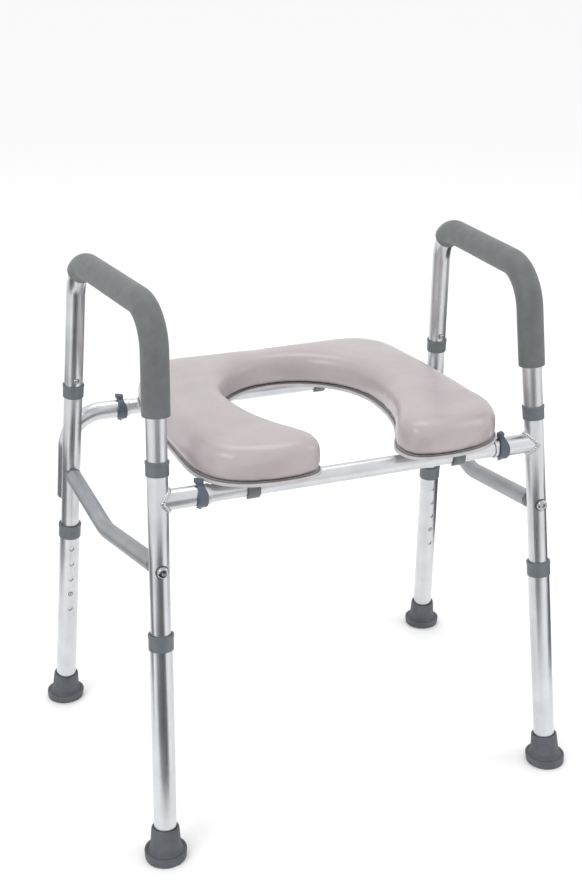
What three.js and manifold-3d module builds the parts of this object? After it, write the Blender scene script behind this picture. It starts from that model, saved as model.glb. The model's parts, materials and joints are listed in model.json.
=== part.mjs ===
// Free-standing raised toilet seat: two splayed aluminium side frames with padded arms, joined by two
// telescoping rails that carry a horseshoe-shaped padded seat. Millimetres, +Z up, the sitter faces -Y.
// The origin is on the floor, midway between the four feet.
import * as THREE from 'three';
import { mergeVertices } from 'three/addons/utils/BufferGeometryUtils.js';
import Module from 'manifold-3d';

const wasm = await Module();
wasm.setup();

// ---------- driving dimensions ----------
const kneeHeight = 508;            // where a post ends and the arm tube begins
const halfWidthAtKnee = { front: 257.5, rear: 280 };
const halfWidthAtFloor = { front: 280.7, rear: 305.6 };
const depthAtKnee = 155;           // from the middle to a post's axis, forwards and backwards
const depthAtFloor = 212.6;

const gap = 0.3;                   // left between pieces that touch
const tubeRadius = 12.7;           // posts, arms and stubs: one inch tube
const tubeBore = 11.45;
const legRadius = 14.3;
const legBore = 13.1;
const railRadius = 11.1;           // slides in the stubs, and the same size as a post's swaged end
const railBore = 9.9;
const tubeSides = 14;
const boreSides = 8;
const bendSteps = 5;

const postFoot = 168;              // heights above the floor
const spigotTop = 551;
const collarHeight = 18;
const collarRadius = 14.6;
const legTop = 298;
const legFoot = 10;
const legCollarHeight = 20;
const legCollarRadius = 16;
const legCollarCrown = 2.5;        // how far the collar stands above the leg's mouth
const footTop = 42;
const footCut = -8;                // a tip is turned to this depth, then cut flat at the floor
const footProfile = [[27, footCut], [27, 9], [25.5, 11.5], [22, 12.5], [19.4, 19]];
const footRim = { radius: 17.6, edge: 17, round: 2 };
const buttonHeight = 189;
const armButtonHeight = 526;
const holePitch = 25.4;
const buttonRadius = 3.2;
const holeSlack = 0.4;             // a leg hole round its button, a lock hole round its pin
const holeSteps = [-1, 0, 1, 2, 3];
const boltHeight = 382.5;
const boltRadius = 3;
const boltHead = { radius: 7.5, crown: 5.4, edge: 1.6, shoulder: 4, height: 4.4 };

const armHeight = 694;
const armBend = 55;
const gripRadius = 17.2;
const gripEndHeight = 570;

const frontRailHeight = 467;
const rearRailHeight = 461;
const weldBead = { overStub: 2.3, overPost: 3, reach: 24 };
const stubEnd = 195;               // where the stubs stop, from the middle
const lockX = 207;
const lockPitch = 10;
const lockHoles = 3;
const railEnd = 232;
const lockPinRadius = 2.5;
const lockPinReach = 6;            // the pin's tip below the stub's far wall
const lockHead = { sink: 1.2, height: 4 };
const lockHeadRadius = 5;
const lockStrapWidth = 13;
const clipWall = 2.9;
const rearStubBend = 50;
const rearStubFoot = 337;
const rearPlug = [[0, -6.5], [7, -5.5], [11, -3], [tubeRadius, -gap], [11, -gap], [11, 10], [0, 10]];

const braceBend = { y: 25, z: 354, radius: 70 };
const saddleThickness = 4;
const saddlePlug = { slack: 0.6, sink: 2, reach: 18 };

const boardBottom = 483;
const boardThickness = 4;
const boardInset = 1.5;
const seatTop = 532;
const seatRounding = 14;
const snapX = { front: 141, rear: 97 };
const snapWidth = 16;
const outlineSteps = 6;

// ---------- finishes ----------
const aluminium = new THREE.MeshStandardMaterial({ color: 0xc9ccd0, roughness: 0.28, metalness: 0.9 });
const braceAluminium = new THREE.MeshStandardMaterial({ color: 0xa9acae, roughness: 0.5, metalness: 0.8 });
const collarPlastic = new THREE.MeshStandardMaterial({ color: 0x6e7578, roughness: 0.45, metalness: 0 });
const clipPlastic = new THREE.MeshStandardMaterial({ color: 0x667180, roughness: 0.45, metalness: 0 });
const gripVinyl = new THREE.MeshStandardMaterial({ color: 0x7f8686, roughness: 0.6, metalness: 0 });
const footRubber = new THREE.MeshStandardMaterial({ color: 0x62656a, roughness: 0.7, metalness: 0 });
const springSteel = new THREE.MeshStandardMaterial({ color: 0xd8dadc, roughness: 0.2, metalness: 1 });
const boardPlastic = new THREE.MeshStandardMaterial({ color: 0x8d8a8b, roughness: 0.5, metalness: 0 });
const seatSkin = new THREE.MeshStandardMaterial({ color: 0xc8bdbd, roughness: 0.35, metalness: 0 });

// ---------- solids ----------
// A closed geometry as a solid that can be joined and cut: vertices merged, folded triangles left out.
function solidOf(geometry) {
  const bare = geometry.clone();
  bare.deleteAttribute('normal');
  bare.deleteAttribute('uv');
  const merged = mergeVertices(bare, 1e-3);
  const corners = merged.index.array;
  const kept = [];
  for (let i = 0; i < corners.length; i += 3) {
    const [a, b, c] = [corners[i], corners[i + 1], corners[i + 2]];
    if (a !== b && b !== c && c !== a) kept.push(a, b, c);
  }
  const vertProperties = new Float32Array(merged.attributes.position.array);
  return new wasm.Manifold(
    new wasm.Mesh({ numProp: 3, vertProperties, triVerts: new Uint32Array(kept) }),
  );
}

function geometryOf(solid) {
  const mesh = solid.getMesh();
  const geometry = new THREE.BufferGeometry();
  geometry.setAttribute('position', new THREE.BufferAttribute(mesh.vertProperties, 3));
  geometry.setIndex(new THREE.BufferAttribute(mesh.triVerts, 1));
  geometry.computeVertexNormals();
  return geometry;
}

const joined = (...solids) => solids.reduce((all, next) => all.add(next));
const cut = (solid, ...tools) => tools.reduce((left, tool) => left.subtract(tool), solid);

// A solid of revolution about Z, from [radius, height] corners.
function turned(corners, sides = tubeSides) {
  const geometry = new THREE.LatheGeometry(corners.map(([r, z]) => new THREE.Vector2(r, z)), sides);
  return solidOf(geometry.rotateX(Math.PI / 2));
}

const tube = (outer, bore, low, high) =>
  turned([[bore, low], [outer, low], [outer, high], [bore, high], [bore, low]]);

// A round bar from one point to another.
function bar(radius, from, to, sides = tubeSides) {
  const run = to.clone().sub(from);
  const geometry = new THREE.CylinderGeometry(radius, radius, run.length(), sides);
  geometry.applyQuaternion(new THREE.Quaternion().setFromUnitVectors(yAxis, run.clone().normalize()));
  const middle = from.clone().add(to).multiplyScalar(0.5);
  return solidOf(geometry.translate(middle.x, middle.y, middle.z));
}

const point = (x, y, z) => new THREE.Vector3(x, y, z);
const yAxis = point(0, 1, 0);

// A tube's centre line: straight runs joined by round bends, with a station at each end of a run and
// a few in each bend, so that a straight run takes no steps of its own.
class BentLine extends THREE.Curve {
  constructor(corners, radius, bendSteps) {
    super();
    this.stations = [];
    const direction = (i) => corners[i + 1].clone().sub(corners[i]).normalize();
    this.stations.push({ at: corners[0], along: direction(0) });
    for (let i = 1; i < corners.length - 1; i += 1) {
      const before = direction(i - 1);
      const after = direction(i);
      const turn = before.angleTo(after);
      const inward = after.clone().sub(before).normalize();
      const centre = corners[i].clone().addScaledVector(inward, radius / Math.cos(turn / 2));
      const axis = before.clone().cross(after).normalize();
      const start = corners[i].clone().addScaledVector(before, -radius * Math.tan(turn / 2)).sub(centre);
      for (let step = 0; step <= bendSteps; step += 1) {
        const angle = (turn * step) / bendSteps;
        this.stations.push({
          at: start.clone().applyAxisAngle(axis, angle).add(centre),
          along: before.clone().applyAxisAngle(axis, angle),
        });
      }
    }
    this.stations.push({ at: corners.at(-1), along: direction(corners.length - 2) });
  }

  station(t) {
    return this.stations[Math.round(t * (this.stations.length - 1))];
  }

  getPointAt(t) {
    return this.station(t).at.clone();
  }

  getTangentAt(t) {
    return this.station(t).along.clone();
  }

  get steps() {
    return this.stations.length - 1;
  }
}

function bentTube(line, outer, bore) {
  const section = new THREE.Shape().absarc(0, 0, outer, 0, 2 * Math.PI);
  section.holes.push(new THREE.Path().absarc(0, 0, bore, 0, 2 * Math.PI, true));
  return solidOf(new THREE.ExtrudeGeometry(section, {
    steps: line.steps,
    curveSegments: tubeSides / 2,
    bevelEnabled: false,
    extrudePath: line,
  }));
}

// A plate drawn on the YZ plane and given its width along X, centred on middleX.
function sideProfile(shape, width, middleX, curveSegments = 6) {
  const geometry = new THREE.ExtrudeGeometry(shape, { depth: width, bevelEnabled: false, curveSegments });
  const turn = new THREE.Matrix4().makeBasis(point(0, 1, 0), point(0, 0, 1), point(1, 0, 0));
  return solidOf(geometry.translate(0, 0, middleX - width / 2).applyMatrix4(turn));
}

// ---------- assembly ----------
const raisedSeat = new THREE.Group();

function add(name, solid, material, parent = raisedSeat) {
  const mesh = new THREE.Mesh(geometryOf(solid), material);
  mesh.name = name;
  parent.add(mesh);
}

const sides = { left: -1, right: 1 };
const ends = { front: -1, rear: 1 };

// The frame of a post: its own +Z runs up the post's axis from the floor, its +Y points backwards.
function postFrame(side, end) {
  const s = sides[side];
  const e = ends[end];
  const floor = point(s * halfWidthAtFloor[end], e * depthAtFloor, 0);
  const knee = point(s * halfWidthAtKnee[end], e * depthAtKnee, kneeHeight);
  const up = knee.clone().sub(floor).normalize();
  const across = yAxis.clone().cross(up).normalize();
  const back = up.clone().cross(across);
  const group = new THREE.Group();
  group.position.copy(floor);
  group.quaternion.setFromRotationMatrix(new THREE.Matrix4().makeBasis(across, back, up));
  group.updateMatrixWorld();
  return {
    group,
    back,
    inward: -e,
    along: (height) => height / up.z,
    at: (height) => floor.clone().addScaledVector(up, height / up.z),
    toWorld: (x, y, z) => point(x, y, z).applyMatrix4(group.matrixWorld),
  };
}

const posts = {};
for (const side of Object.keys(sides)) {
  posts[side] = { front: postFrame(side, 'front'), rear: postFrame(side, 'rear') };
  raisedSeat.add(posts[side].front.group, posts[side].rear.group);
}

const frontRailY = posts.left.front.at(frontRailHeight).y;
const stubOffset = 2 * tubeRadius + gap + 0.1;      // rear stub behind its post
const stubAxis = (post, height) => {
  const rise = post.back.z * stubOffset;
  return post.at(height - rise).addScaledVector(post.back, stubOffset);
};
const rearRailY = stubAxis(posts.left.rear, rearRailHeight).y;
const boltOffset = tubeRadius + gap + saddleThickness;   // post's axis to a brace's end

// A straight bore across a post, in the post's own frame, facing forwards and backwards.
const crossBore = (radius, fromY, toY, z) => bar(radius, point(0, fromY, z), point(0, toY, z), boreSides);

function addPost(side, end) {
  const post = posts[side][end];
  const [low, knee, high] = [postFoot, kneeHeight, spigotTop].map(post.along);
  const body = turned([
    [railBore, low], [tubeRadius, low], [tubeRadius, knee - 3], [railRadius, knee],
    [railRadius, high], [railBore, high], [railBore, low],
  ]);
  const wallSide = 2 * tubeRadius * post.inward;
  const solid = cut(
    body,
    crossBore(buttonRadius + gap, 0, wallSide, post.along(buttonHeight)),
    crossBore(buttonRadius + gap, 0, wallSide, post.along(armButtonHeight)),
    crossBore(boltRadius + gap, -2 * tubeRadius, 2 * tubeRadius, post.along(boltHeight)),
  );
  add(`${side}_${end}_post`, solid, aluminium, post.group);
}

function addPostCollar(side, end) {
  const post = posts[side][end];
  const middle = post.along(kneeHeight);
  const [low, high] = [middle - collarHeight / 2, middle + collarHeight / 2];
  add(`${side}_${end}_arm_collar`, tube(collarRadius, tubeRadius + 2 * gap, low, high), collarPlastic, post.group);
}

// The outer leg tube with its row of height holes, its collar and its rubber foot.
function addLeg(side, end) {
  const post = posts[side][end];
  const [low, high] = [legFoot, legTop].map(post.along);
  const holes = holeSteps.map((step) => crossBore(
    buttonRadius + holeSlack,
    0,
    2 * legRadius * post.inward,
    post.along(buttonHeight) + step * holePitch,
  ));
  add(`${side}_${end}_leg`, cut(tube(legRadius, legBore, low, high), ...holes), aluminium, post.group);

  const crown = high + legCollarCrown;
  const [skirt, lip] = [crown - legCollarHeight, high + gap];
  const collar = turned([
    [legRadius + gap, skirt], [legCollarRadius, skirt], [legCollarRadius, crown], [tubeRadius + gap, crown],
    [tubeRadius + gap, lip], [legRadius + gap, lip], [legRadius + gap, skirt],
  ]);
  add(`${side}_${end}_leg_collar`, collar, collarPlastic, post.group);

  const top = post.along(footTop);
  const tip = turned([
    [0, footCut], ...footProfile, [footRim.radius, top - footRim.round], [footRim.edge, top],
    [legRadius + gap, top], [legRadius + gap, low - gap], [0, low - gap],
  ]);
  const belowFloor = new THREE.BoxGeometry(120, 120, 40).translate(0, 0, -20);
  belowFloor.applyMatrix4(new THREE.Matrix4().makeTranslation(post.at(0)));
  belowFloor.applyMatrix4(post.group.matrixWorld.clone().invert());
  add(`${side}_${end}_foot`, cut(tip, solidOf(belowFloor)), footRubber, post.group);
}

// A snap button: the round head that shows in the hole and the leaf spring behind it, bent to a V.
// The leaf's near arm lies along the wall behind the head, and its far arm rests on the other wall.
function addButton(name, post, height, headTip, leafDirection) {
  const wall = railBore - 1;
  const head = turned([
    [0, wall - 1], [buttonRadius, wall - 1], [buttonRadius, headTip - 1], [buttonRadius - 1.2, headTip],
    [0, headTip],
  ], boreSides);
  const leaf = new THREE.Shape([
    [wall, -5], [wall, 5], [2 - wall, 30], [0.5 - wall, 27], [wall - 1.2, 3.5], [wall - 1.2, -5],
  ].map(([across, along]) => new THREE.Vector2(across, along * leafDirection)));
  const headGeometry = geometryOf(head).rotateX(-Math.PI / 2);
  const button = geometryOf(joined(solidOf(headGeometry), sideProfile(leaf, 5, 0)));
  if (post.inward < 0) button.rotateZ(Math.PI);
  add(name, solidOf(button.translate(0, 0, post.along(height))), springSteel, post.group);
}

// The inverted U of an arm, from its front joint round to its rear one.
function armLine(side) {
  const { front, rear } = posts[side];
  const start = front.at(kneeHeight + gap + 0.2);
  const finish = rear.at(kneeHeight + gap + 0.2);
  return new BentLine([start, front.at(armHeight), rear.at(armHeight), finish], armBend, bendSteps);
}

function addArm(side) {
  const { front, rear } = posts[side];
  const intoWorld = (post, z) => [
    post.toWorld(0, 0, post.along(z)),
    post.toWorld(0, 2 * tubeRadius * post.inward, post.along(z)),
  ];
  const buttonHoles = [front, rear].map((post) => bar(
    buttonRadius + gap,
    ...intoWorld(post, armButtonHeight),
    boreSides,
  ));
  add(`${side}_arm_tube`, cut(bentTube(armLine(side), tubeRadius, tubeBore), ...buttonHoles), aluminium);

  // the sleeve covers the front upright, the front bend, the top and half of the rear bend
  const sleeve = armLine(side);
  const lastStation = sleeve.stations.length - 1 - 3;
  sleeve.stations = sleeve.stations.slice(0, lastStation);
  sleeve.stations[0] = { at: front.at(gripEndHeight), along: sleeve.stations[0].along };
  add(`${side}_arm_grip`, bentTube(sleeve, gripRadius, tubeRadius + gap), gripVinyl);
}

const lockHoleXs = (s) => Array.from({ length: lockHoles }, (_, i) => s * (lockX + i * lockPitch));
const verticalBore = (radius, x, y, z) => bar(radius, point(x, y, z - 20), point(x, y, z + 20), boreSides);

// The front stub is notched to its post and ringed by a weld bead.
function addFrontStub(side) {
  const s = sides[side];
  const post = posts[side].front;
  const y = frontRailY;
  const z = frontRailHeight;
  const postX = post.at(z).x;
  const along = (radius, fromX, toX) => bar(radius, point(fromX, y, z), point(toX, y, z));
  const upright = (radius) => bar(radius, post.at(z - 60), post.at(z + 60), 16);
  const bead = along(tubeRadius + weldBead.overStub, postX - s * weldBead.reach, postX)
    .intersect(upright(tubeRadius + weldBead.overPost));
  const solid = cut(
    joined(along(tubeRadius, s * stubEnd, postX), bead),
    upright(tubeRadius + gap),
    along(tubeBore, s * (stubEnd - 5), postX + s * 5),
    verticalBore(lockPinRadius + holeSlack, s * lockX, y, z),
  );
  // the post's own tube stands between the stub and whatever the notch leaves on the far side
  const nearSide = solid.decompose().sort((a, b) => b.volume() - a.volume())[0];
  add(`${side}_front_stub`, nearSide, aluminium);
}

// The rear stub runs out past the post, bends down and is bolted to the post's back.
function addRearStub(side) {
  const s = sides[side];
  const post = posts[side].rear;
  const corner = stubAxis(post, rearRailHeight);
  const foot = stubAxis(post, rearStubFoot);
  const line = new BentLine([point(s * stubEnd, rearRailY, rearRailHeight), corner, foot], rearStubBend, bendSteps);
  const boltZ = post.along(boltHeight);
  const solid = cut(
    bentTube(line, tubeRadius, tubeBore),
    verticalBore(lockPinRadius + holeSlack, s * lockX, rearRailY, rearRailHeight),
    bar(boltRadius + gap, post.toWorld(0, 0, boltZ), post.toWorld(0, 60, boltZ), boreSides),
  );
  add(`${side}_rear_stub`, solid, aluminium);

  const low = post.along(rearStubFoot - post.back.z * stubOffset);
  const placed = geometryOf(turned(rearPlug)).translate(0, stubOffset, low);
  add(`${side}_rear_stub_plug`, solidOf(placed), collarPlastic, post.group);
}

// A side brace dips between the posts, and sits on a saddle plug at each of them.
function addBrace(side) {
  const s = sides[side];
  const { front, rear } = posts[side];
  const seatPoint = (post) => post.toWorld(0, boltOffset * post.inward, post.along(boltHeight));
  const start = seatPoint(front);
  const finish = seatPoint(rear);
  const share = (braceBend.y - start.y) / (finish.y - start.y);
  const dip = point(start.x + (finish.x - start.x) * share, braceBend.y, braceBend.z);
  const reach = (from) => from.clone().add(from.clone().sub(dip).normalize().multiplyScalar(8));
  const line = new BentLine([reach(start), dip, reach(finish)], braceBend.radius, 3);
  // everything on a post's side of its saddle's face is trimmed away
  const trim = (post) => {
    const depth = 60;
    const box = new THREE.BoxGeometry(80, depth, 120);
    box.translate(0, (boltOffset + gap - depth / 2) * post.inward, post.along(boltHeight));
    return solidOf(box.applyMatrix4(post.group.matrixWorld));
  };
  const brace = cut(bentTube(line, railRadius, railBore), trim(front), trim(rear));
  add(`${side}_brace`, brace, braceAluminium);

  for (const end of Object.keys(ends)) {
    const post = posts[side][end];
    const z = post.along(boltHeight);
    const seatAt = post.toWorld(0, boltOffset * post.inward, z);
    const intoBrace = dip.clone().sub(seatAt).normalize();
    const spacer = bar(railRadius, post.at(boltHeight), seatAt);
    const plug = bar(
      railBore - saddlePlug.slack,
      seatAt.clone().addScaledVector(intoBrace, -saddlePlug.sink),
      seatAt.clone().addScaledVector(intoBrace, saddlePlug.reach),
    );
    const upright = bar(tubeRadius + gap, post.at(boltHeight - 40), post.at(boltHeight + 40));
    const bore = bar(boltRadius + gap, post.at(boltHeight), post.toWorld(0, 60 * post.inward, z), boreSides);
    const saddle = cut(joined(spacer, plug), upright, bore);
    add(`${side}_${end}_saddle`, saddle, collarPlastic);
  }
  addBolt(`${side}_front_bolt`, front, tubeRadius);
  addBolt(`${side}_rear_bolt`, rear, stubOffset + tubeRadius);
}

// A socket button-head bolt through the post and into the saddle plug.
function addBolt(name, post, headSeat) {
  const tipY = tubeRadius + saddleThickness + 14;
  const length = headSeat + gap + tipY;
  const bolt = turned([
    [0, 0], [boltRadius, 0], [boltRadius, length], [boltHead.radius, length],
    [boltHead.radius, length + boltHead.edge], [boltHead.crown, length + boltHead.shoulder],
    [0, length + boltHead.height],
  ], 12);
  // the shank points to the brace, the head away from it
  const geometry = geometryOf(bolt).rotateX(post.inward * Math.PI / 2);
  geometry.translate(0, tipY * post.inward, post.along(boltHeight));
  add(name, solidOf(geometry), springSteel, post.group);
}

// One cross rail, with its row of lock holes at each end.
function addRail(name, y, z) {
  const body = cut(
    bar(railRadius, point(-railEnd, y, z), point(railEnd, y, z)),
    bar(railBore, point(-railEnd - 5, y, z), point(railEnd + 5, y, z)),
  );
  const holes = [...lockHoleXs(-1), ...lockHoleXs(1)].map((x) => verticalBore(lockPinRadius + holeSlack, x, y, z));
  add(name, cut(body, ...holes), aluminium);
}

// The side view of a C-shaped spring clip round a tube, between two angles given in half turns.
function springC(y, z, inner, outer, from, to) {
  const shape = new THREE.Shape();
  shape.absarc(y, z, outer, from * Math.PI, to * Math.PI);
  shape.absarc(y, z, inner, to * Math.PI, from * Math.PI, true);
  return shape;
}

// A lock clip: steel pin with a moulded head and a strap that snaps round the front of the stub.
function addLockClip(name, s, y, z) {
  const x = s * lockX;
  const inner = tubeRadius + gap;
  const outer = inner + clipWall;
  const strap = springC(y, z, inner, outer, 0.42, 1.36);
  const pinTip = z - tubeRadius - lockPinReach;
  const pin = bar(lockPinRadius, point(x, y, pinTip), point(x, y, z + outer), boreSides);
  const head = bar(lockHeadRadius, point(x, y, z + outer - lockHead.sink), point(x, y, z + outer + lockHead.height), 12);
  add(name, joined(sideProfile(strap, lockStrapWidth, x), pin, head), clipPlastic);
}

// The seat's outline. One half runs from the side of the opening, down into the slot, round the lobe
// and up the outside to the rear edge, as Bezier runs; the other half is its mirror image.
const seatOutline = {
  holeHalf: 104, holeMiddle: 15, holeDepth: 111, slotHalf: 53, slotBack: -160,
  frontEdge: -205, lobeFront: 110, sideHalf: 211, sideFront: -112, rearEdge: 193, rearFlat: 118,
};

function seatShape(inset) {
  const o = seatOutline;
  const [hole, slot] = [o.holeHalf + inset, o.slotHalf + inset];
  const [front, rear, side] = [o.frontEdge + inset, o.rearEdge - inset, o.sideHalf - inset];
  const half = [
    [hole, o.holeMiddle], [hole, -95], [slot + 5, -128], [slot, o.slotBack],
    [slot, -192], [slot + 9, front], [o.lobeFront, front],
    [182 - inset, front], [side, -170], [side, o.sideFront],
    [side, -35], [side - 3, 45], [side - 8, 100],
    [side - 12, 165], [176, rear], [o.rearFlat, rear],
  ];
  const mirrored = half.map(([x, y]) => [-x, y]).reverse();
  const shape = new THREE.Shape();
  const follow = (points) => {
    for (let i = 1; i < points.length; i += 3) {
      shape.bezierCurveTo(...points[i], ...points[i + 1], ...points[i + 2]);
    }
  };
  shape.moveTo(...half[0]);
  follow(half);
  shape.lineTo(...mirrored[0]);
  follow(mirrored);
  shape.absellipse(0, o.holeMiddle, hole, o.holeDepth + inset, Math.PI, 0, true);
  return shape;
}

function addSeat() {
  const plate = (inset, depth) => new THREE.ExtrudeGeometry(seatShape(inset), {
    depth, bevelEnabled: false, curveSegments: outlineSteps,
  });
  add('seat_board', solidOf(plate(boardInset, boardThickness).translate(0, 0, boardBottom)), boardPlastic);

  // the foam stands straight up to its waist, and is rounded over from there to the top
  const foamBottom = boardBottom + boardThickness + gap;
  const waist = seatTop - seatRounding;
  const rounded = new THREE.ExtrudeGeometry(seatShape(seatRounding), {
    depth: 1,
    bevelEnabled: true,
    bevelThickness: seatRounding,
    bevelSize: seatRounding,
    bevelSegments: 2,
    curveSegments: outlineSteps,
  });
  const aboveWaist = new THREE.BoxGeometry(500, 500, 60).translate(0, 0, 30);
  const crown = solidOf(rounded.translate(0, 0, -1)).intersect(solidOf(aboveWaist));
  const body = solidOf(plate(0, waist - foamBottom).translate(0, 0, foamBottom));
  add('seat_cushion', joined(body, crown.translate([0, 0, waist])), seatSkin);
}

// A snap clip: a block under the board with a C that springs round the front of the rail.
function addSnapClip(name, x, y, z) {
  const inner = railRadius + gap;
  const grip = springC(y, z, inner, inner + clipWall, 0.25, 1.36);
  const top = boardBottom - gap;
  const block = new THREE.BoxGeometry(snapWidth, 2 * inner, top - z).translate(x, y, (top + z) / 2);
  const clear = bar(inner, point(x - snapWidth, y, z), point(x + snapWidth, y, z));
  const belowCrown = new THREE.BoxGeometry(2 * snapWidth, 4 * inner, 8).translate(x, y, z + 4);
  const foot = cut(solidOf(block), clear, solidOf(belowCrown));
  add(name, joined(sideProfile(grip, snapWidth, x), foot), collarPlastic);
}

for (const [side, s] of Object.entries(sides)) {
  for (const end of Object.keys(ends)) {
    const post = posts[side][end];
    addPost(side, end);
    addPostCollar(side, end);
    addLeg(side, end);
    addButton(`${side}_${end}_leg_button`, post, buttonHeight, legRadius + 1.6, 1);
    addButton(`${side}_${end}_arm_button`, post, armButtonHeight, tubeRadius + 1.8, -1);
  }
  addArm(side);
  addFrontStub(side);
  addRearStub(side);
  addBrace(side);
  addLockClip(`${side}_front_lock_clip`, s, frontRailY, frontRailHeight);
  addLockClip(`${side}_rear_lock_clip`, s, rearRailY, rearRailHeight);
  addSnapClip(`${side}_front_snap_clip`, s * snapX.front, frontRailY, frontRailHeight);
  addSnapClip(`${side}_rear_snap_clip`, s * snapX.rear, rearRailY, rearRailHeight);
}
addRail('front_rail', frontRailY, frontRailHeight);
addRail('rear_rail', rearRailY, rearRailHeight);
addSeat();

export default raisedSeat;
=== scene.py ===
import json
import bmesh
import bpy
import numpy as np
from mathutils import Matrix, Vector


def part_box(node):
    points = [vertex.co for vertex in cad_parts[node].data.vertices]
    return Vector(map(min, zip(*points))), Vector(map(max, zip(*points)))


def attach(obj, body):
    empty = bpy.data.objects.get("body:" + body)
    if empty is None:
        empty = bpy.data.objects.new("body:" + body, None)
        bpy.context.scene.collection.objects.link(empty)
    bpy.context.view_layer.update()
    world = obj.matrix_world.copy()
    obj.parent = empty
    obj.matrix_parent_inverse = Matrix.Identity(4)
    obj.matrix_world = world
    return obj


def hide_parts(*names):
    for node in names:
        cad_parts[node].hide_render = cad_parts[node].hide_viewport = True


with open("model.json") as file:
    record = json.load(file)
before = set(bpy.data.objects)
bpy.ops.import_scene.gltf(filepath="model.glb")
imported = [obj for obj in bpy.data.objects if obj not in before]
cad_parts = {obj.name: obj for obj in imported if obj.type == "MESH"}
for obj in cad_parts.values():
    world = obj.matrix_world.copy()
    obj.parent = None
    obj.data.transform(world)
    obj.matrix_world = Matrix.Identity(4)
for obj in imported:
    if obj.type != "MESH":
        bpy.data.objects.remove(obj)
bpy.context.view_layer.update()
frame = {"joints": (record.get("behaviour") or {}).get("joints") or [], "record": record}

record = frame["record"]
bodyOf = {node: body for body, nodes in record["behaviour"]["bodies"].items() for node in nodes}
mm = 0.001
sides = {"left": -1, "right": 1}
ends = {"front": -1, "rear": 1}
xAxis, yAxis, zAxis = np.eye(3)

cameraSet = {
    "place": (-0.6892, -1.6027, 1.1301),
    "azimuth": -22.597,              # degrees, seen from the left of the seat's front
    "elevation": 21.56,
    "roll": 0.216,
    "lens": 55.67,
}


def placeCamera(values):
    azimuth, elevation, roll = (np.radians(values[key]) for key in ("azimuth", "elevation", "roll"))
    back = np.array([
        np.sin(azimuth) * np.cos(elevation), -np.cos(azimuth) * np.cos(elevation), np.sin(elevation)])
    right = np.cross(zAxis, back)
    right /= np.linalg.norm(right)
    up = np.cross(back, right)
    rolledRight = np.cos(roll) * right + np.sin(roll) * up
    rolledUp = np.cos(roll) * up - np.sin(roll) * right
    camera = bpy.data.objects.new("camera", bpy.data.cameras.new("camera"))
    camera.data.lens = values["lens"]
    turn = Matrix(np.stack([rolledRight, rolledUp, back], 1).tolist()).to_4x4()
    camera.matrix_world = Matrix.Translation(values["place"]) @ turn
    bpy.context.scene.collection.objects.link(camera)
    bpy.context.scene.camera = camera


def linear(hexColour):
    # an sRGB hex colour as linear light, with its alpha
    srgb = np.array([int(hexColour[i:i + 2], 16) for i in (1, 3, 5)]) / 255
    light = np.where(srgb <= 0.04045, srgb / 12.92, ((srgb + 0.055) / 1.055) ** 2.4)
    return (*light.tolist(), 1.0)


def addNode(tree, kind, settings=None, links=None):
    # one shader node with its settings and the sockets that feed it
    made = tree.nodes.new(kind)
    for key, value in (settings or {}).items():
        if isinstance(key, int) or key in made.inputs:
            made.inputs[key].default_value = value
        else:
            setattr(made, key, value)
    for key, source in (links or {}).items():
        tree.links.new(source, made.inputs[key])
    return made


stageSet = {
    "floor": "#F9F9F9",
    "floorReach": 40.0,              # metres from the middle, so that no edge of it shows
    "sky": "#FFFFFF",
    "skyStrength": 1.0,
    "lights": [
        # name, place, target, width, height, watts
        ("keyLight", (-2.4, -1.2, 2.8), (0, 0, 0.4), 1.6, 1.4, 26),
        ("rightLight", (2.4, -1.0, 1.8), (0, 0, 0.4), 1.0, 1.8, 9),
        ("overheadLight", (0.3, 0.9, 3.2), (0, 0, 0.4), 1.6, 1.2, 14),
    ],
    # dark cards that only the gloss of the tubes sees, so that they put painted dark reflections on the
    # tubes: name, corners on the floor, grey
    "cards": [
        ("frontCard", [(-1.2, -0.42), (-0.1, -0.42), (2.6, -8.0), (-3.6, -8.0)], "#1B1D1F"),
        ("rightCard", [(0.6, -0.6), (2.2, -0.6), (2.2, 1.3), (0.6, 1.3)], "#2E3033"),
        ("leftCard", [(-1.7, -0.1), (-0.7, -0.1), (-0.7, 1.7), (-1.7, 1.7)], "#4A4D50"),
    ],
}


def flatSheet(name, corners, height):
    mesh = bpy.data.meshes.new(name)
    mesh.from_pydata([(x, y, height) for x, y in corners], [], [(0, 1, 2, 3)])
    sheet = bpy.data.objects.new(name, mesh)
    bpy.context.scene.collection.objects.link(sheet)
    return sheet


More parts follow.
